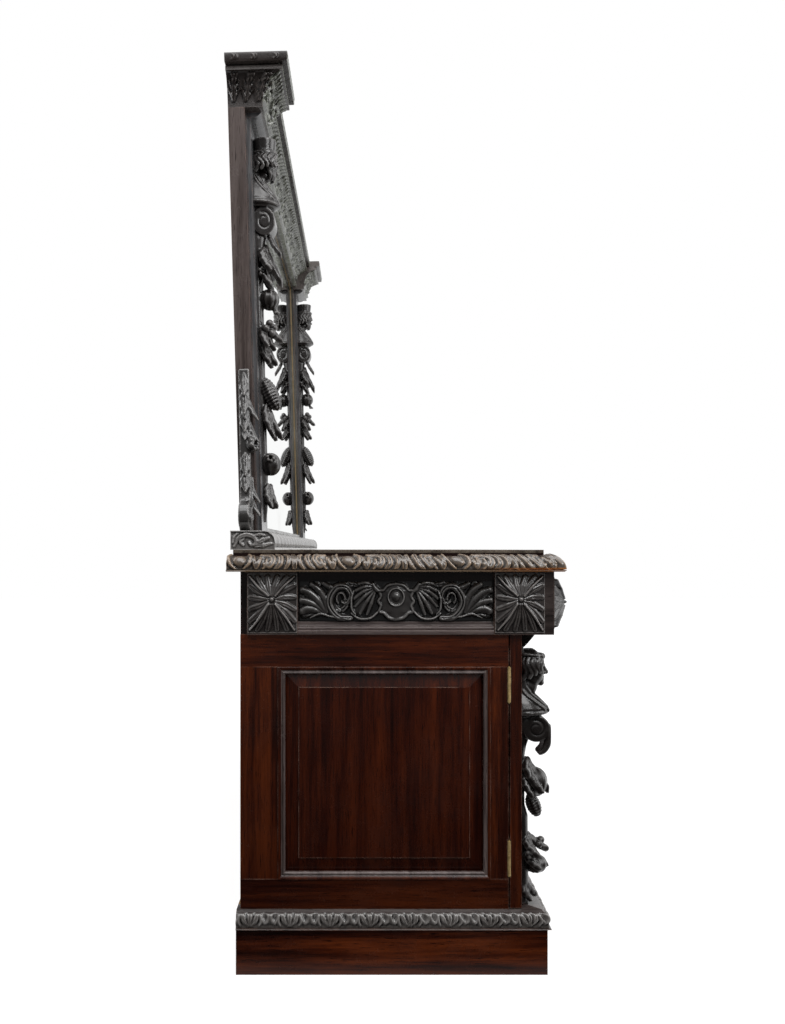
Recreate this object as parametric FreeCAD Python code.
import FreeCAD, Part
import math
import os

from FreeCAD import Vector

# Mirror-back sideboard, in millimetres. X runs along the width, the front faces -Y and Z is up.
# The origin lies on the floor under the middle of the whole piece. Depths are measured forwards
# from the back edge of the carcass, and heights from the floor.

# Clearances and allowances
joint_clearance = 0.2
pin_clearance = 0.05
knuckle_clearance = 0.4
door_gap = 2.0
drawer_gap = 1.5
slide_clearance = 0.3
cut_overrun = 5.0

# Half widths and set-outs along X
carcass_half_width = 950.0
plinth_proud = 12.0
frieze_proud = 12.0
top_overhang = 28.0
cornice_set_in = 70.0
cornice_block_width = 217.0
partition_offset = 320.0
partition_thickness = 30.0
pilaster_width = 94.0

# Heights of the storeys, from the floor upwards
plinth_height = 100.0
plinth_cap_height = 38.0
cupboard_height = 598.0
frieze_height = 137.0
table_height = 47.0
mirror_plinth_height = 42.0
upright_height = 973.0
cornice_height = 108.0

# Depths from the back edge of the carcass
carcass_depth = 584.0
hinge_gap = 3.0
door_thickness = 26.0
plinth_front_overhang = 54.0
plinth_back_overhang = 8.0
frieze_overhang = 68.0
top_front_overhang = 22.0
top_back_overhang = 26.0

# Plinth
plinth_board = 22.0
plinth_cap_projection = 8.0
plinth_cap_lip = 6.0
plinth_cap_run = 14.0
plinth_cap_fillet = 4.0
plinth_cap_width = 48.0
floor_ledge_width = 14.0
floor_thickness = 22.0

# Framed ends and doors
end_thickness = 30.0
end_back_stile = 82.0
end_front_stile = 39.0
end_top_rail = 71.0
end_bottom_rail = 65.0
door_hinge_stile = 96.0
door_lock_stile = 74.0
door_top_rail = 71.0
door_bottom_rail = 82.0
tenon_thickness = 9.0
tenon_length = 24.0
tenon_shoulder = 12.0
groove_depth = 9.0
tongue_thickness = 8.0
field_margin = 45.0
field_step = 2.0
field_set_back = 3.0
panel_moulding_width = 16.0
panel_moulding_proud = 3.0
panel_moulding_inner_height = 3.0

# Cupboard insides
carcass_top_thickness = 18.0
back_board_thickness = 12.0
back_board_count = 6
back_board_gap = 0.8
shelf_thickness = 18.0
shelf_height_above_floor = 292.0
shelf_setback = 44.0
batten_size = 20.0
batten_setback = 64.0

# Hinges and locks
hinge_length = 76.0
hinge_inset = 70.0
knuckle_radius = 3.7
knuckle_count = 3
hinge_pin_radius = 1.6
pin_tip_length = 2.0
leaf_width = 24.0
leaf_thickness = 1.25
lock_case_width = 56.0
lock_case_height = 70.0
lock_case_thickness = 10.0
lock_edge_distance = 14.0
lock_height_above_floor = 340.0
escutcheon_radius = 15.0
escutcheon_thickness = 1.5
pull_radius = 11.0
pull_neck_radius = 5.0
pull_length = 24.0
pull_rim = 6.0

# Frieze
frieze_block_width = 110.0
frieze_block_depth = 129.0
frieze_end_board = 24.0
back_block_set_in = 16.0
frieze_board_set_back = 16.0
boss_projection = 40.0
boss_side = 98.0
boss_top_side = 26.0
boss_plate = 8.0
end_boss_projection = 18.0
carved_panel_low = 30.0
carved_panel_high = 115.0
carved_panel_thickness = 8.0
carved_panel_bulge = 4.0
carved_panel_gap = 4.0
cartouche_half_length = 30.0
cartouche_half_height = 26.0
cartouche_proud = 9.0
frieze_moulding_height = 28.0
frieze_moulding_proud = 12.0
frieze_rail_setback = 9.0
frieze_back_thickness = 20.0

# Drawers
drawer_front_setback = 17.0
drawer_front_thickness = 22.0
drawer_length = 440.0
drawer_side_thickness = 12.0
drawer_side_height = 80.0
drawer_bottom_thickness = 7.0
drawer_bottom_lift = 8.0
drawer_head_gap = 3.0
finger_hollow = 9.0
runner_width = 26.0
runner_setback = 30.0
guide_height = 54.0

# Table top and its moulded edge
table_board_thickness = 20.0
table_edge_run = 42.0
table_edge_fillet = 8.5
table_edge_lip = 6.0
table_edge_chamfer = 4.0
table_edge_ledge = 48.0
table_board_back_set = 10.0

# Mirror back, drawn upright and then leaned back about the foot of its uprights
rake_angle = 1.65
foot_allowance = 12.0
mirror_plinth_set_in = 5.0
mirror_plinth_back_overhang = 23.0
mirror_plinth_depth = 98.0
mirror_plinth_nose = 24.0
upright_outer_set_in = 40.0
upright_back_overhang = 15.0
upright_thickness = 38.0
pilaster_board_thickness = 10.0
pilaster_board_margin = 26.0
necking_height = 11.0
necking_proud = 36.0
glass_thickness = 6.0
glass_front_set = 10.0
glass_edge_gap = 1.0
glass_rise = 11.0
slip_width = 12.0
mirror_back_thickness = 11.0
ear_reach = 88.0
ear_thickness = 30.0
ear_back_overhang = 8.0
ear_height = 372.0
ear_top_width = 14.0
ear_volute_radius = 30.0
ear_waist = 22.0

# Cornice
crown_thickness = 21.0
crown_depth = 148.0
crown_centre_set_back = 37.0
crown_back_projection = 4.0
crown_edge_step = 8.0
cornice_fillet = 13.0
cornice_fillet_step = 6.0
cove_run = 50.0
cove_centre_run = 42.0
cove_end_run = 26.0
cornice_foot = 10.0

# Carved terms: a bust on a scroll, with a drop of leaves and fruit below it
base_term_proud = 68.0
base_term_half_width = 42.0
base_cap_height = 30.0
upright_term_proud = 57.0
upright_term_half_width = 48.0
upright_term_foot = 22.0
upright_term_headroom = 39.0
upright_cap_height = 26.0
volute_radius = 32.0
volute_half_width = 27.0

# Rows of height, projection and half width, from the foot to the brow. The even rows are
# the waists and the odd rows are the swellings between them. The block over the brow has
# its projection and half width at its foot and at its top.
base_term_shares = [
    (0.000, 0.40, 0.60), (0.035, 0.50, 0.56), (0.090, 0.30, 0.42), (0.165, 0.93, 0.95),
    (0.258, 0.28, 0.40), (0.288, 0.26, 0.38), (0.318, 0.30, 0.40), (0.357, 0.75, 0.60),
    (0.395, 0.55, 0.60), (0.448, 0.97, 1.00), (0.536, 0.28, 0.42), (0.566, 0.48, 0.52),
    (0.596, 0.48, 0.52), (0.650, 0.80, 0.60), (0.702, 0.64, 0.64), (0.748, 0.96, 1.00),
    (0.808, 0.50, 0.52), (0.875, 0.90, 0.64), (0.944, 0.40, 0.50)]
base_cap_shares = [(0.06, 0.44), (0.46, 0.86)]
base_volute_share = 0.650
upright_term_shares = [
    (0.000, 0.12, 0.16), (0.064, 0.42, 0.44), (0.108, 0.26, 0.30), (0.151, 0.76, 0.72),
    (0.199, 0.30, 0.30), (0.240, 0.68, 0.66), (0.275, 0.46, 0.50), (0.319, 0.74, 0.76),
    (0.368, 0.32, 0.40), (0.415, 0.62, 0.95), (0.453, 0.50, 0.68), (0.490, 0.82, 0.86),
    (0.528, 0.42, 0.55), (0.574, 0.92, 0.82), (0.618, 0.50, 0.60), (0.670, 0.92, 0.90),
    (0.740, 0.36, 0.48), (0.780, 0.68, 0.60), (0.818, 0.50, 0.66), (0.852, 1.00, 1.00),
    (0.898, 0.50, 0.50), (0.938, 0.95, 0.64), (0.972, 0.66, 0.54)]
upright_cap_shares = [(0.80, 0.56), (0.88, 0.64)]
upright_volute_share = 0.780
round_mid_share = 0.29
hollow_mid_share = 0.71

# Levels and faces worked out from the sizes above
floor_z = plinth_height + plinth_cap_height
frieze_z = floor_z + cupboard_height
table_underside_z = frieze_z + frieze_height
table_z = table_underside_z + table_height
stage_z = table_z + mirror_plinth_height
cornice_z = stage_z + upright_height
crown_z = cornice_z + cornice_height - crown_thickness
overall_z = cornice_z + cornice_height

plinth_half_width = carcass_half_width + plinth_proud
frieze_half_width = carcass_half_width + frieze_proud
top_half_width = frieze_half_width + top_overhang
end_inner_x = carcass_half_width - end_thickness
pilaster_inner_x = partition_offset - pilaster_width / 2
pilaster_outer_x = partition_offset + pilaster_width / 2
corner_block_inner_x = frieze_half_width - frieze_block_width
inner_block_inner_x = partition_offset - frieze_block_width / 2
inner_block_outer_x = partition_offset + frieze_block_width / 2
cornice_half_width = carcass_half_width - cornice_set_in
mirror_plinth_half_length = carcass_half_width - mirror_plinth_set_in
upright_outer_x = cornice_half_width - upright_outer_set_in
upright_inner_x = cornice_half_width - cornice_block_width
upright_mid_x = (upright_outer_x + upright_inner_x) / 2

door_back_depth = carcass_depth + hinge_gap
door_front_depth = door_back_depth + door_thickness
plinth_front_depth = door_front_depth + plinth_front_overhang
frieze_front_depth = door_front_depth + frieze_overhang
top_front_depth = frieze_front_depth + top_front_overhang
upright_back_depth = -upright_back_overhang
upright_front_depth = upright_back_depth + upright_thickness
pilaster_board_depth = upright_front_depth + pilaster_board_thickness
crown_back_depth = upright_back_depth - crown_back_projection
rake = math.radians(rake_angle)
rearmost_depth = (upright_back_depth - crown_back_projection * math.cos(rake)
                  - (overall_z - stage_z) * math.sin(rake))
foremost_depth = frieze_front_depth + boss_projection
back_y = (foremost_depth + rearmost_depth) / 2


def block(x0, x1, depth0, depth1, z0, z1):
    """A square-edged board between two X faces, two depths and two heights."""
    return Part.makeBox(x1 - x0, depth1 - depth0, z1 - z0, Vector(x0, back_y - depth1, z0))


def mirrored(shape):
    return shape.mirror(Vector(0, 0, 0), Vector(1, 0, 0))


def pair(shapes):
    """The pieces of the left side with their mirror images on the right."""
    return shapes + [mirrored(shape) for shape in shapes]


def end_view(x):
    return lambda depth, z: Vector(x, back_y - depth, z)


def front_view(depth):
    return lambda x, z: Vector(x, back_y - depth, z)


def plan_view(z):
    return lambda x, depth: Vector(x, back_y - depth, z)


def outline(place, start, steps):
    """A closed face from lines, given as (end,), and arcs, given as (middle, end)."""
    edges = []
    here = start
    for step in steps:
        end = step[-1]
        if len(step) == 1:
            edges.append(Part.LineSegment(place(*here), place(*end)).toShape())
        else:
            edges.append(Part.Arc(place(*here), place(*step[0]), place(*end)).toShape())
        here = end
    edges.append(Part.LineSegment(place(*here), place(*start)).toShape())
    return Part.Face(Part.Wire(edges))


def between(start, end, across_share, up_share):
    """A point at the given shares of the way from one corner to another."""
    return (start[0] + across_share * (end[0] - start[0]), start[1] + up_share * (end[1] - start[1]))


def arc_out(start, end):
    """A rounded step: it leaves the start upright and reaches the end level."""
    return (between(start, end, round_mid_share, hollow_mid_share), end)


def arc_in(start, end):
    """A hollow step: it leaves the start level and reaches the end upright."""
    return (between(start, end, hollow_mid_share, round_mid_share), end)


def plan_prism(points, z0, z1):
    steps = [(point,) for point in points[1:]]
    return outline(plan_view(z0), points[0], steps).extrude(Vector(0, 0, z1 - z0))


def mitred_edge(start, steps, half_width, front, back, reach, z0, z1):
    """A moulding round the front and both ends, mitred at the front corners.

    The section gives how far each point lies out from the outer edge, and its height.
    """
    across = outline(lambda out, z: Vector(-half_width, back_y - front - out, z), start, steps)
    front_mitre = plan_prism([(-half_width, front), (half_width, front),
                              (half_width - reach, front - reach),
                              (reach - half_width, front - reach)], z0, z1)
    along = outline(lambda out, z: Vector(-half_width - out, back_y - front, z), start, steps)
    end_mitre = plan_prism([(-half_width, front), (reach - half_width, front - reach),
                            (reach - half_width, back), (-half_width, back)], z0, z1)
    front_length = across.extrude(Vector(2 * half_width, 0, 0)).common(front_mitre)
    end_length = along.extrude(Vector(0, front - back, 0)).common(end_mitre)
    return [front_length] + pair([end_length])


def save(name, solids):
    """Write the solids of one named piece, or group of like pieces, to its own file."""
    whole = []
    for shape in solids:
        whole.extend(shape.Solids)
    Part.makeCompound(whole).exportStep("parts/" + name + ".step")


def make_plinth():
    outer = plinth_half_width
    end = block(-outer, plinth_board - outer, -plinth_back_overhang, plinth_front_depth, 0, plinth_height)
    long_x = outer - plinth_board
    front = block(-long_x, long_x, plinth_front_depth - plinth_board, plinth_front_depth, 0, plinth_height)
    back = block(-long_x, long_x, -plinth_back_overhang, plinth_board - plinth_back_overhang, 0, plinth_height)
    save("plinth_boards", pair([end]) + [front, back])

    lip = (0, plinth_height + plinth_cap_lip)
    crest = (-plinth_cap_run, floor_z - plinth_cap_fillet)
    ledge_z = floor_z - floor_thickness
    reach = plinth_cap_width + floor_ledge_width
    steps = [(lip,), arc_out(lip, crest), ((-plinth_cap_run, floor_z),), ((-plinth_cap_width, floor_z),),
             ((-plinth_cap_width, ledge_z),), ((-reach, ledge_z),), ((-reach, plinth_height),)]
    cap_half = outer + plinth_cap_projection
    cap_front = plinth_front_depth + plinth_cap_projection
    save("plinth_moulding", mitred_edge((0, plinth_height), steps, cap_half, cap_front,
                                        -plinth_back_overhang, reach, plinth_height, floor_z))
    floor_half = cap_half - plinth_cap_width
    floor_front = cap_front - plinth_cap_width
    save("carcass_floor", [block(-floor_half, floor_half, -plinth_back_overhang, floor_front, ledge_z, floor_z)])


def local_block(x0, x1, out0, out1, z0, z1):
    """A board of a framed panel, drawn from its back face outwards along -Y."""
    return Part.makeBox(x1 - x0, out1 - out0, z1 - z0, Vector(x0, -out1, z0))


def ring_moulding(x0, x1, z0, z1, seat, crest):
    """Four mitred lengths of planted moulding inside an opening."""
    width = panel_moulding_width
    start = (0, seat)
    top = (0, crest)
    toe = (width, seat + panel_moulding_inner_height)
    steps = [(top,), (between(top, toe, hollow_mid_share, round_mid_share), toe), ((width, seat),)]
    rise = crest - seat
    along_x = Vector(x1 - x0, 0, 0)
    along_z = Vector(0, 0, z1 - z0)
    corners = [(x0, z0), (x1, z0), (x1, z1), (x0, z1)]
    inner = [(x0 + width, z0 + width), (x1 - width, z0 + width), (x1 - width, z1 - width), (x0 + width, z1 - width)]
    bars = [(lambda inward, out: Vector(x0, -out, z0 + inward), along_x),
            (lambda inward, out: Vector(x1 - inward, -out, z0), along_z),
            (lambda inward, out: Vector(x0, -out, z1 - inward), along_x),
            (lambda inward, out: Vector(x0 + inward, -out, z0), along_z)]
    lengths = []
    for side in range(len(bars)):
        place, run = bars[side]
        bar = outline(place, start, steps).extrude(run)
        after = (side + 1) % len(bars)
        plan = [corners[side], corners[after], inner[after], inner[side]]
        mitre = outline(lambda x, z: Vector(x, -seat, z), plan[0], [(point,) for point in plan[1:]])
        lengths.append(bar.common(mitre.extrude(Vector(0, -rise, 0))))
    return lengths


def raised_panel(x0, x1, z0, z1, thickness, tongue_back):
    """A panel with a tongue all round, sloping margins and a stepped flat field."""
    tongue_front = tongue_back + tongue_thickness
    edge = groove_depth - joint_clearance
    sheet = local_block(x0 - edge, x1 + edge, tongue_back, tongue_front, z0 - edge, z1 + edge)
    field_out = thickness - field_set_back
    wide = panel_moulding_width
    narrow = field_margin
    slope = Part.makeWedge(x0 + narrow, field_step - field_out, z0 + narrow, z0 + wide, x0 + wide,
                           x1 - narrow, -tongue_front, z1 - narrow, z1 - wide, x1 - wide)
    field = local_block(x0 + narrow, x1 - narrow, field_out - field_step, field_out, z0 + narrow, z1 - narrow)
    return sheet.fuse([slope, field]).removeSplitter()


def framed_panel(width, height, thickness, left, right, top, bottom, rails_run_through):
    """Stiles, rails, panel and moulding of one frame, standing at the origin and facing -Y."""
    x0 = left
    x1 = width - right
    z0 = bottom
    z1 = height - top
    tongue_back = (thickness - tongue_thickness) / 2
    groove = local_block(x0 - groove_depth, x1 + groove_depth, tongue_back - joint_clearance,
                         tongue_back + tongue_thickness + joint_clearance, z0 - groove_depth, z1 + groove_depth)
    tenon_back = (thickness - tenon_thickness) / 2
    tenon_front = tenon_back + tenon_thickness

    def tenon(spare, ax0, ax1, az0, az1):
        return local_block(ax0 - spare, ax1 + spare, tenon_back - spare, tenon_front + spare, az0 - spare, az1 + spare)

    shoulder = tenon_shoulder
    if rails_run_through:
        rails = [local_block(0, width, 0, thickness, 0, z0), local_block(0, width, 0, thickness, z1, height)]
        stiles = [local_block(0, x0, 0, thickness, z0, z1), local_block(x1, width, 0, thickness, z0, z1)]
        spans = [(shoulder, x0 - shoulder), (x1 + shoulder, width - shoulder)]
        reaches = [(span, (z0 - tenon_length, z1 + tenon_length)) for span in spans]
    else:
        stiles = [local_block(0, x0, 0, thickness, 0, height), local_block(x1, width, 0, thickness, 0, height)]
        rails = [local_block(x0, x1, 0, thickness, 0, z0), local_block(x0, x1, 0, thickness, z1, height)]
        spans = [(shoulder, z0 - shoulder), (z1 + shoulder, height - shoulder)]
        reaches = [((x0 - tenon_length, x1 + tenon_length), span) for span in spans]

    through = rails if rails_run_through else stiles
    housed = stiles if rails_run_through else rails
    for index in range(len(reaches)):
        across, up = reaches[index]
        housed[index] = housed[index].fuse(tenon(0, *across, *up)).cut(groove).removeSplitter()
        mortise = tenon(joint_clearance, *across, *up)
        through[0] = through[0].cut(mortise)
        through[1] = through[1].cut(mortise)
    through[0] = through[0].cut(groove)
    through[1] = through[1].cut(groove)
    panel = raised_panel(x0, x1, z0, z1, thickness, tongue_back)
    moulding = ring_moulding(x0, x1, z0, z1, tongue_back + tongue_thickness, thickness + panel_moulding_proud)
    return stiles, rails, [panel], moulding


def moved(shapes, turn, x, y, z):
    """Copies turned about the upright axis and then set down at a point."""
    placement = FreeCAD.Placement(Vector(x, y, z), FreeCAD.Rotation(Vector(0, 0, 1), turn))
    copies = []
    for shape in shapes:
        copy = shape.copy()
        copy.Placement = placement.multiply(copy.Placement)
        copies.append(copy)
    return copies


def hinge_bases():
    low = floor_z + door_gap + hinge_inset
    high = frieze_z - door_gap - hinge_inset - hinge_length
    return [low, high]


def hinge(axis, into, toward, base_z):
    """A butt hinge: fixed leaf, moving leaf, pin, and the hollow that its knuckles turn in."""
    axis_x, axis_y = axis

    def plate(u0, u1, v0, v1, z0, z1):
        xs = [axis_x + into[0] * u + toward[0] * v for u in (u0, u1) for v in (v0, v1)]
        ys = [axis_y + into[1] * u + toward[1] * v for u in (u0, u1) for v in (v0, v1)]
        return Part.makeBox(max(xs) - min(xs), max(ys) - min(ys), z1 - z0, Vector(min(xs), min(ys), z0))

    def barrel(radius, z0, z1):
        return Part.makeCylinder(radius, z1 - z0, Vector(axis_x, axis_y, z0))

    half_gap = hinge_gap / 2
    clear = knuckle_radius + knuckle_clearance
    top_z = base_z + hinge_length
    faces = [(-half_gap, leaf_thickness - half_gap), (half_gap - leaf_thickness, half_gap)]
    leaves = [plate(clear, leaf_width, v0, v1, base_z, top_z) for v0, v1 in faces]
    bore = barrel(hinge_pin_radius + pin_clearance, base_z - cut_overrun, top_z + cut_overrun)
    step = hinge_length / knuckle_count
    for knuckle in range(knuckle_count):
        side = knuckle % 2
        z0 = base_z + knuckle * step + knuckle_clearance / 2
        z1 = base_z + (knuckle + 1) * step - knuckle_clearance / 2
        v0, v1 = faces[side]
        leaves[side] = leaves[side].fuse([barrel(knuckle_radius, z0, z1), plate(0, clear, v0, v1, z0, z1)])
    leaves = [leaf.cut(bore).removeSplitter() for leaf in leaves]
    pin = barrel(hinge_pin_radius, base_z - pin_tip_length, top_z + pin_tip_length)
    hollow = barrel(clear, base_z - pin_tip_length - knuckle_clearance, top_z + pin_tip_length + knuckle_clearance)
    return leaves[0], leaves[1], pin, hollow


def outer_hinges():
    """The hinges of the left door, on the outer front corner of the end frame."""
    axis = (-carcass_half_width, back_y - carcass_depth - hinge_gap / 2)
    return [hinge(axis, (1, 0), (0, -1), base) for base in hinge_bases()]


def centre_hinges():
    """The hinges of the centre door, between its edge and the left pilaster."""
    axis = (hinge_gap / 2 - pilaster_inner_x, back_y - door_front_depth)
    return [hinge(axis, (0, 1), (1, 0), base) for base in hinge_bases()]


def without(shapes, cutters):
    result = []
    for shape in shapes:
        for cutter in cutters:
            shape = shape.cut(cutter)
        result.append(shape)
    return result


def make_ends():
    stiles, rails, panel, moulding = framed_panel(
        carcass_depth, cupboard_height, end_thickness, end_back_stile, end_front_stile,
        end_top_rail, end_bottom_rail, True)
    hollows = [parts[3] for parts in outer_hinges()]
    for name, shapes in (("end_stiles", stiles), ("end_rails", rails),
                         ("end_panels", panel), ("end_mouldings", moulding)):
        placed = moved(shapes, -90, -end_inner_x, back_y, floor_z)
        if name in ("end_stiles", "end_rails"):
            placed = without(placed, hollows)
        save(name, pair(placed))


def make_carcass():
    ceiling_z = frieze_z - carcass_top_thickness
    low_x = partition_offset - partition_thickness / 2
    high_x = partition_offset + partition_thickness / 2
    wall = block(-high_x, -low_x, back_board_thickness, carcass_depth, floor_z, ceiling_z)
    divider = block(-high_x, -low_x, frieze_back_thickness, carcass_depth, frieze_z,
                    table_z - table_board_thickness)
    save("partitions", pair([wall, divider]))
    save("carcass_top", [block(-end_inner_x, end_inner_x, 0, carcass_depth, ceiling_z, frieze_z)])

    pitch = 2 * end_inner_x / back_board_count
    boards = []
    for index in range(back_board_count):
        x0 = index * pitch - end_inner_x
        boards.append(block(x0, x0 + pitch - back_board_gap, 0, back_board_thickness, floor_z, ceiling_z))
    save("back_boards", boards)

    shelf_z = floor_z + shelf_height_above_floor
    shelf_front = carcass_depth - shelf_setback
    outer_shelf = block(-end_inner_x, -high_x, back_board_thickness, shelf_front, shelf_z, shelf_z + shelf_thickness)
    centre_shelf = block(-low_x, low_x, back_board_thickness, shelf_front, shelf_z, shelf_z + shelf_thickness)
    save("shelves", pair([outer_shelf]) + [centre_shelf])

    battens = []
    batten_front = carcass_depth - batten_setback
    for x0 in (-end_inner_x, -high_x - batten_size, -low_x):
        battens.append(block(x0, x0 + batten_size, back_board_thickness, batten_front, shelf_z - batten_size, shelf_z))
    save("shelf_battens", pair(battens))

    pilaster = block(-pilaster_outer_x, -pilaster_inner_x, carcass_depth, door_front_depth, floor_z, frieze_z)
    left_pilaster = without([pilaster], [parts[3] for parts in centre_hinges()])
    save("pilasters", left_pilaster + [mirrored(pilaster)])


def carved_term(x_mid, ground, foot_z, height, proud, half_width, cap_height, rows, cap_rows, volute_share):
    """A term sawn to shape from the side and from the front, with a rolled scroll and a block over its head."""
    heights = [foot_z + share * (height - cap_height) / rows[-1][0] for share, _, _ in rows]
    fronts = [ground + share * proud for _, share, _ in rows]
    halves = [share * half_width for _, _, share in rows]
    last = len(rows) - 1
    side_steps = [((fronts[0], heights[0]),)]
    for row in range(0, last, 2):
        side_steps.append(((fronts[row + 1], heights[row + 1]), (fronts[row + 2], heights[row + 2])))
    side_steps.append(((ground, heights[last]),))
    from_side = outline(end_view(x_mid - half_width), (ground, heights[0]), side_steps)
    from_side = from_side.extrude(Vector(2 * half_width, 0, 0))
    right_edge = [((x_mid + half, z),) for half, z in zip(halves, heights)]
    left_edge = [((x_mid - half, z),) for half, z in zip(halves, heights)]
    from_front = outline(front_view(ground), right_edge[0][0], right_edge[1:] + left_edge[::-1])
    body = from_side.common(from_front.extrude(Vector(0, -proud, 0)))

    roll_z = foot_z + volute_share * (height - cap_height) / rows[-1][0]
    roll = Part.makeCylinder(volute_radius, 2 * volute_half_width,
                             Vector(x_mid - volute_half_width, back_y - ground - proud + volute_radius, roll_z),
                             Vector(1, 0, 0))
    behind = block(x_mid - half_width, x_mid + half_width, ground - 2 * volute_radius, ground,
                   foot_z, foot_z + height)
    (foot_out, foot_half), (top_out, top_half) = [(out * proud, half * half_width) for out, half in cap_rows]
    cap = Part.makeWedge(-foot_half, 0, 0, 0, -top_half, foot_half, cap_height, foot_out, top_out, top_half)
    cap.rotate(Vector(0, 0, 0), Vector(1, 0, 0), 90)
    cap.translate(Vector(x_mid, back_y - ground, heights[last]))
    return body.fuse([roll.cut(behind), cap]).removeSplitter()


def base_term(x_mid):
    foot_z = floor_z + door_gap
    return carved_term(x_mid, door_front_depth, foot_z, frieze_z - door_gap - foot_z, base_term_proud,
                       base_term_half_width, base_cap_height, base_term_shares, base_cap_shares, base_volute_share)


def make_lock(x_free_edge, inward):
    """Lock case inside the door, key plate outside it and a turned pull, near the free edge."""
    middle = x_free_edge + inward * door_lock_stile / 2
    case_edge = x_free_edge + inward * lock_edge_distance
    case_far = case_edge + inward * lock_case_width
    middle_z = floor_z + lock_height_above_floor
    case = block(min(case_edge, case_far), max(case_edge, case_far), door_back_depth - lock_case_thickness,
                 door_back_depth, middle_z - lock_case_height / 2, middle_z + lock_case_height / 2)
    forward = Vector(0, -1, 0)
    face = Vector(middle, back_y - door_front_depth, middle_z)
    plate = Part.makeCylinder(escutcheon_radius, escutcheon_thickness, face, forward)
    profile = outline(lambda radius, out: Vector(middle + radius, face.y - escutcheon_thickness - out, middle_z),
                      (0, 0), [((pull_neck_radius, 0),), ((pull_radius, pull_length - pull_rim),),
                               ((pull_radius, pull_length),), ((0, pull_length),)])
    pull = profile.revolve(face, forward, 360)
    return [case, plate, pull]


def make_doors():
    door_z = floor_z + door_gap
    height = cupboard_height - 2 * door_gap
    outer_width = carcass_half_width - pilaster_outer_x - door_gap
    centre_x = hinge_gap - pilaster_inner_x
    centre_width = pilaster_inner_x - door_gap - centre_x
    doors = (("left_door", -carcass_half_width, outer_width, outer_hinges(), False),
             ("centre_door", centre_x, centre_width, centre_hinges(), False),
             ("right_door", -carcass_half_width, outer_width, outer_hinges(), True))
    for name, x0, width, hinges, flipped in doors:
        frame = framed_panel(width, height, door_thickness, door_hinge_stile, door_lock_stile,
                             door_top_rail, door_bottom_rail, False)
        groups = [moved(shapes, 0, x0, back_y - door_back_depth, door_z) for shapes in frame]
        groups[0] = without(groups[0], [parts[3] for parts in hinges])
        fittings = [parts[1] for parts in hinges] + make_lock(x0 + width, -1)
        if flipped:
            groups = [[mirrored(shape) for shape in shapes] for shapes in groups]
            fittings = [mirrored(shape) for shape in fittings]
        for piece, shapes in zip(("stiles", "rails", "panel", "moulding"), groups):
            save(name + "_" + piece, shapes)
        save(name + "_fittings", fittings)

    figure = base_term(door_hinge_stile / 2 - carcass_half_width)
    save("left_door_figure", [figure])
    save("right_door_figure", [mirrored(figure)])
    save("pilaster_figures", pair([base_term(-partition_offset)]))

    left_pairs = outer_hinges()
    fixed = pair([parts[0] for parts in left_pairs]) + [parts[0] for parts in centre_hinges()]
    pins = pair([parts[2] for parts in left_pairs]) + [parts[2] for parts in centre_hinges()]
    save("hinge_leaves", fixed)
    save("hinge_pins", pins)


def pyramid_boss(projection):
    """A square rosette boss on a thin plate, rising to a blunt point, facing -Y at the origin."""
    half = boss_side / 2
    top = boss_top_side / 2
    plate = local_block(-half, half, 0, boss_plate, -half, half)
    point = Part.makeWedge(-top, -projection, -top, -half, -half, top, -boss_plate, top, half, half)
    return plate.fuse(point).removeSplitter()


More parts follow.
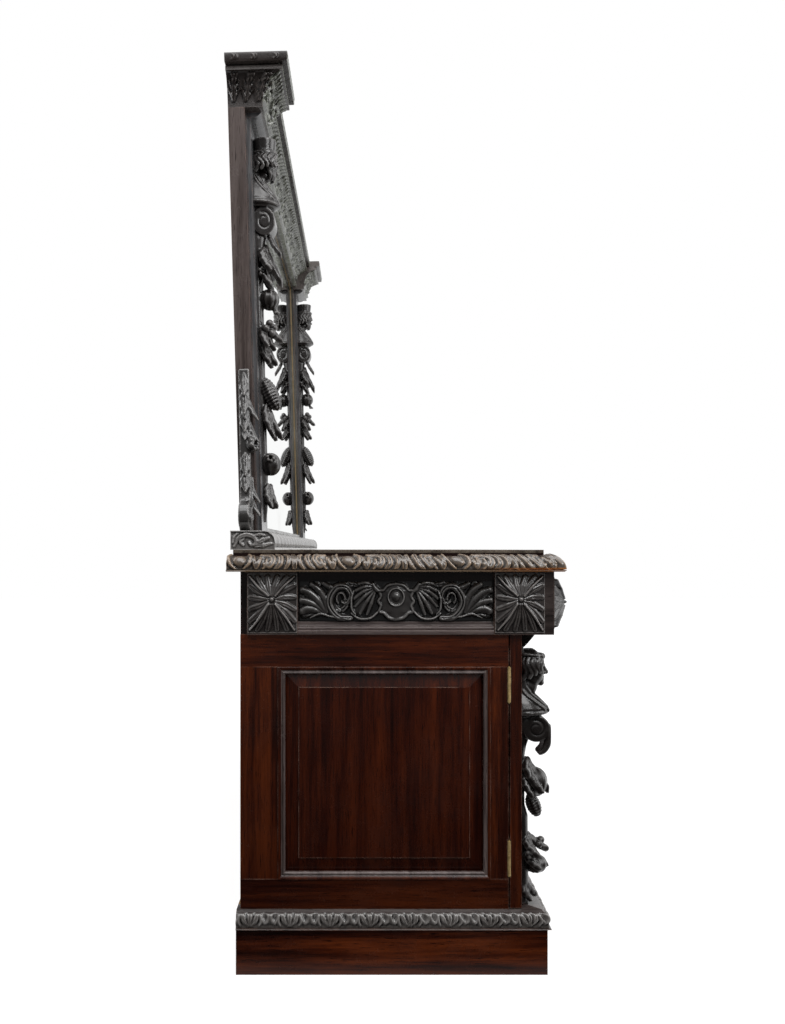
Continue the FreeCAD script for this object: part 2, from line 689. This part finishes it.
def make_frieze():
    outer = frieze_half_width
    board_outer = outer - frieze_board_set_back
    block_back = frieze_front_depth - frieze_block_depth
    back_block_front = back_block_set_in + frieze_block_width
    top_z = table_underside_z
    save("frieze_ends", pair([block(-board_outer, frieze_end_board - board_outer, 0, block_back, frieze_z, top_z)]))

    corner = block(-outer, -corner_block_inner_x, block_back, frieze_front_depth, frieze_z, top_z)
    back_block = block(-outer, -board_outer, back_block_set_in, back_block_front, frieze_z, top_z)
    inner = block(-inner_block_outer_x, -inner_block_inner_x, carcass_depth, frieze_front_depth, frieze_z, top_z)
    save("frieze_blocks", pair([corner, back_block, inner]))

    middle_z = (frieze_z + top_z) / 2
    bosses = []
    for x in (frieze_block_width / 2 - outer, -partition_offset):
        bosses.extend(moved([pyramid_boss(boss_projection)], 0, x, back_y - frieze_front_depth, middle_z))
    for depth in (back_block_set_in + frieze_block_width / 2, block_back + frieze_block_width / 2):
        bosses.extend(moved([pyramid_boss(end_boss_projection)], -90, -outer, back_y - depth, middle_z))
    save("frieze_bosses", pair(bosses))

    low = (board_outer, frieze_z + carved_panel_low)
    high = (board_outer, frieze_z + carved_panel_high)
    face_x = board_outer + carved_panel_thickness
    panel_back = back_block_front + carved_panel_gap
    panel_front = block_back - carved_panel_gap
    section = outline(lambda x, z: Vector(-x, back_y - panel_front, z), low,
                      [((face_x, low[1]),),
                       ((face_x + carved_panel_bulge, (low[1] + high[1]) / 2), (face_x, high[1])), (high,)])
    panel = section.extrude(Vector(0, panel_front - panel_back, 0))
    oval = Part.Ellipse(Vector(0, 0, 0), cartouche_half_length, cartouche_half_height).toShape()
    cartouche = Part.Face(Part.Wire([oval])).extrude(Vector(0, 0, carved_panel_thickness + cartouche_proud))
    turn = FreeCAD.Rotation(Vector(0, 1, 0), Vector(0, 0, 1), Vector(-1, 0, 0), "ZXY")
    cartouche.Placement = FreeCAD.Placement(
        Vector(-board_outer, back_y - (panel_back + panel_front) / 2, (low[1] + high[1]) / 2), turn)
    save("frieze_carved_panels", pair([panel.fuse(cartouche).removeSplitter()]))

    toe = (board_outer + frieze_moulding_proud, frieze_z)
    crest = (board_outer, frieze_z + frieze_moulding_height)
    moulding = outline(lambda x, z: Vector(-x, back_y - block_back, z), (board_outer, frieze_z),
                       [(toe,), arc_out(toe, crest)])
    save("frieze_mouldings", pair([moulding.extrude(Vector(0, block_back - back_block_front, 0))]))

    rail_front = frieze_front_depth - frieze_rail_setback
    rail_top = frieze_z + frieze_moulding_height
    outer_rail = block(-corner_block_inner_x, -inner_block_outer_x, carcass_depth, rail_front, frieze_z, rail_top)
    centre_rail = block(-inner_block_inner_x, inner_block_inner_x, carcass_depth, rail_front, frieze_z, rail_top)
    inside_x = board_outer - frieze_end_board
    ledge_x = top_half_width - table_edge_run - table_edge_ledge
    back_rail = block(-inside_x, inside_x, 0, frieze_back_thickness, frieze_z, top_z)
    bearer = block(-ledge_x, ledge_x, 0, frieze_back_thickness, top_z, table_z - table_board_thickness)
    save("frieze_rails", pair([outer_rail]) + [centre_rail, back_rail.fuse(bearer).removeSplitter()])
    make_drawers(inside_x)


def make_drawers(inside_x):
    runner_top = frieze_z + frieze_moulding_height + drawer_head_gap
    wall_outer = partition_offset + partition_thickness / 2
    wall_inner = partition_offset - partition_thickness / 2
    runner_back = frieze_back_thickness + runner_setback
    runners = []
    for face_x, wall_x in ((-corner_block_inner_x, -inside_x), (-inner_block_outer_x, -wall_outer),
                           (-inner_block_inner_x, -wall_inner)):
        inward = math.copysign(runner_width, face_x - wall_x)
        x0 = min(face_x, face_x + inward)
        runners.append(block(x0, x0 + runner_width, runner_back, carcass_depth, frieze_z, runner_top))
        runners.append(block(min(face_x, wall_x), max(face_x, wall_x), runner_back,
                             min(carcass_depth, frieze_front_depth - frieze_block_depth), frieze_z,
                             frieze_z + guide_height))
    save("drawer_runners", pair(runners))

    base_z = runner_top + slide_clearance
    front_face = frieze_front_depth - drawer_front_setback
    front_back = front_face - drawer_front_thickness
    rear = front_back - drawer_length
    spans = (("left_drawer", -corner_block_inner_x, -inner_block_outer_x),
             ("centre_drawer", -inner_block_inner_x, inner_block_inner_x),
             ("right_drawer", inner_block_outer_x, corner_block_inner_x))
    for name, low_x, high_x in spans:
        x0 = low_x + drawer_gap
        x1 = high_x - drawer_gap
        high_z = table_underside_z - drawer_head_gap
        grip = (front_face - finger_hollow, base_z)
        crest = (front_face, base_z + finger_hollow)
        section = outline(end_view(x0), (front_back, base_z),
                          [(grip,), (between(grip, crest, round_mid_share, hollow_mid_share), crest),
                           ((front_face, high_z),), ((front_back, high_z),)])
        save(name + "_front", [section.extrude(Vector(x1 - x0, 0, 0))])
        side = drawer_side_thickness
        top_z = base_z + drawer_side_height
        bottom_z = base_z + drawer_bottom_lift
        walls = [block(x0, x0 + side, rear, front_back, base_z, top_z),
                 block(x1 - side, x1, rear, front_back, base_z, top_z),
                 block(x0 + side, x1 - side, rear, rear + side, base_z, top_z),
                 block(x0 + side, x1 - side, rear + side, front_back, bottom_z, bottom_z + drawer_bottom_thickness)]
        save(name + "_box", walls)


def make_table_top():
    board_z = table_z - table_board_thickness
    run = table_edge_run
    reach = run + table_edge_ledge
    low_z = table_underside_z
    lip = (0, low_z + table_edge_lip)
    crest = (-run, table_z - table_edge_fillet)
    steps = [((0, low_z + table_edge_chamfer),), (lip,), arc_out(lip, crest), ((-run, board_z),),
             ((-reach, board_z),), ((-reach, low_z),)]
    save("table_edge", mitred_edge((-table_edge_chamfer, low_z), steps, top_half_width, top_front_depth,
                                   -top_back_overhang, reach, low_z, table_z))
    half = top_half_width - run
    save("table_top", [block(-half, half, table_board_back_set - top_back_overhang, top_front_depth - run,
                             board_z, table_z)])


def leaned(shapes):
    """Lean pieces of the mirror back and trim whatever then dips below the plinth rail's top."""
    pivot = Vector(0, back_y - upright_back_depth, stage_z)
    below = block(-top_half_width, top_half_width, -top_front_depth, top_front_depth, table_z, stage_z)
    result = []
    for shape in shapes:
        copy = shape.copy()
        copy.rotate(pivot, Vector(1, 0, 0), -rake_angle)
        result.append(copy.cut(below))
    return result


def make_mirror_back():
    rail_back = -mirror_plinth_back_overhang
    rail_front = rail_back + mirror_plinth_depth
    nose = (rail_front, stage_z - mirror_plinth_nose)
    crest = (rail_front - mirror_plinth_nose, stage_z)
    rail = outline(end_view(-mirror_plinth_half_length), (rail_back, table_z),
                   [((rail_front, table_z),), (nose,), arc_out(nose, crest), ((rail_back, stage_z),)])
    save("mirror_plinth", [rail.extrude(Vector(2 * mirror_plinth_half_length, 0, 0))])

    foot = stage_z - foot_allowance
    upright = block(-upright_outer_x, -upright_inner_x, upright_back_depth, upright_front_depth, foot, cornice_z)
    save("mirror_uprights", leaned(pair([upright])))

    board_x0 = pilaster_board_margin - upright_outer_x
    board_x1 = -upright_inner_x - pilaster_board_margin
    neck_z = cornice_z - necking_height
    pilaster = block(board_x0, board_x1, upright_front_depth, pilaster_board_depth, foot, neck_z)
    neck_toe = (pilaster_board_depth, neck_z)
    neck_crest = (upright_front_depth + necking_proud, cornice_z)
    neck = outline(end_view(board_x0), (upright_front_depth, neck_z),
                   [(neck_toe,), arc_in(neck_toe, neck_crest), ((upright_front_depth, cornice_z),)])
    save("upright_pilasters", leaned(pair([pilaster, neck.extrude(Vector(board_x1 - board_x0, 0, 0))])))

    term_height = upright_height - upright_term_foot - upright_term_headroom
    term = carved_term(-upright_mid_x, pilaster_board_depth, stage_z + upright_term_foot, term_height,
                       upright_term_proud, upright_term_half_width, upright_cap_height,
                       upright_term_shares, upright_cap_shares, upright_volute_share)
    save("upright_terms", leaned(pair([term])))
    make_ears(foot)
    make_mirror(foot)


def make_ears(foot):
    """Scrolled side brackets: a volute at the foot and a long hollow sweep up to the upright."""
    face = -upright_outer_x
    roll = ear_volute_radius
    roll_x = face - ear_reach + roll
    roll_top = (roll_x, stage_z + 2 * roll)
    waist = (face - ear_waist, stage_z + 2 * roll + ear_waist)
    tip = (face - ear_top_width, stage_z + ear_height)
    sweep = between(waist, tip, hollow_mid_share, round_mid_share)
    ear = outline(front_view(-ear_back_overhang), (face, foot),
                  [((roll_x, foot),), ((roll_x, stage_z),), ((roll_x - roll, stage_z + roll), roll_top),
                   (waist,), (sweep, tip), ((face, tip[1]),)])
    save("upright_ears", leaned(pair([ear.extrude(Vector(0, -ear_thickness, 0))])))


def make_mirror(foot):
    half = upright_inner_x - glass_edge_gap
    top_z = cornice_z + glass_rise
    glass_front = upright_front_depth - glass_front_set
    glass_back = glass_front - glass_thickness
    save("mirror_glass", leaned([block(-half, half, glass_back, glass_front, foot, top_z)]))
    save("mirror_back", leaned([block(-half, half, glass_back - mirror_back_thickness, glass_back, foot, top_z)]))
    inner = half - slip_width
    side = block(-upright_inner_x, -inner, glass_front, upright_front_depth, foot, top_z)
    low = block(-inner, inner, glass_front, upright_front_depth, foot, stage_z + slip_width)
    high = block(-inner, inner, glass_front, upright_front_depth, top_z - slip_width, top_z)
    save("mirror_slips", leaned(pair([side]) + [low, high]))
    make_cornice(top_z)


def make_cornice(centre_z):
    outer = cornice_half_width
    inner = upright_inner_x
    crown_front = crown_back_depth + crown_depth
    centre_front = crown_front - crown_centre_set_back
    crowns = [block(-outer, -inner, crown_back_depth, crown_front, crown_z, overall_z)]
    centre_crown = block(-inner, inner, crown_back_depth, centre_front, crown_z, overall_z)
    save("cornice_crown", leaned(pair(crowns) + [centre_crown]))

    def cove(place, back, front, run, foot_z, shelf):
        """A stepped fillet over a hollow that sweeps back to a narrow foot."""
        top = front - crown_edge_step
        fillet = top - cornice_fillet_step
        start = (fillet, crown_z - cornice_fillet)
        end = (fillet - run, foot_z + shelf)
        middle = between(start, end, hollow_mid_share, round_mid_share)
        return outline(place, (back, foot_z), [((end[0], foot_z),), (end,), (middle, start),
                                               ((fillet, crown_z),), ((back, crown_z),)])

    along = Vector(outer - inner, 0, 0)
    from_end = cove(end_view(-outer), upright_back_depth, crown_front, cove_run, cornice_z, cornice_foot)
    from_front = cove(lambda out, z: Vector(-out, back_y - crown_front, z), inner, outer, cove_end_run,
                      cornice_z, cornice_foot)
    side = from_front.extrude(Vector(0, crown_depth, 0))
    save("cornice_blocks", leaned(pair([from_end.extrude(along).common(side)])))

    centre = cove(end_view(-inner), upright_back_depth, centre_front, cove_centre_run, centre_z, cornice_foot)
    save("cornice_centre", leaned([centre.extrude(Vector(2 * inner, 0, 0))]))


os.makedirs("parts", exist_ok=True)
make_plinth()
make_ends()
make_carcass()
make_doors()
make_frieze()
make_table_top()
make_mirror_back()
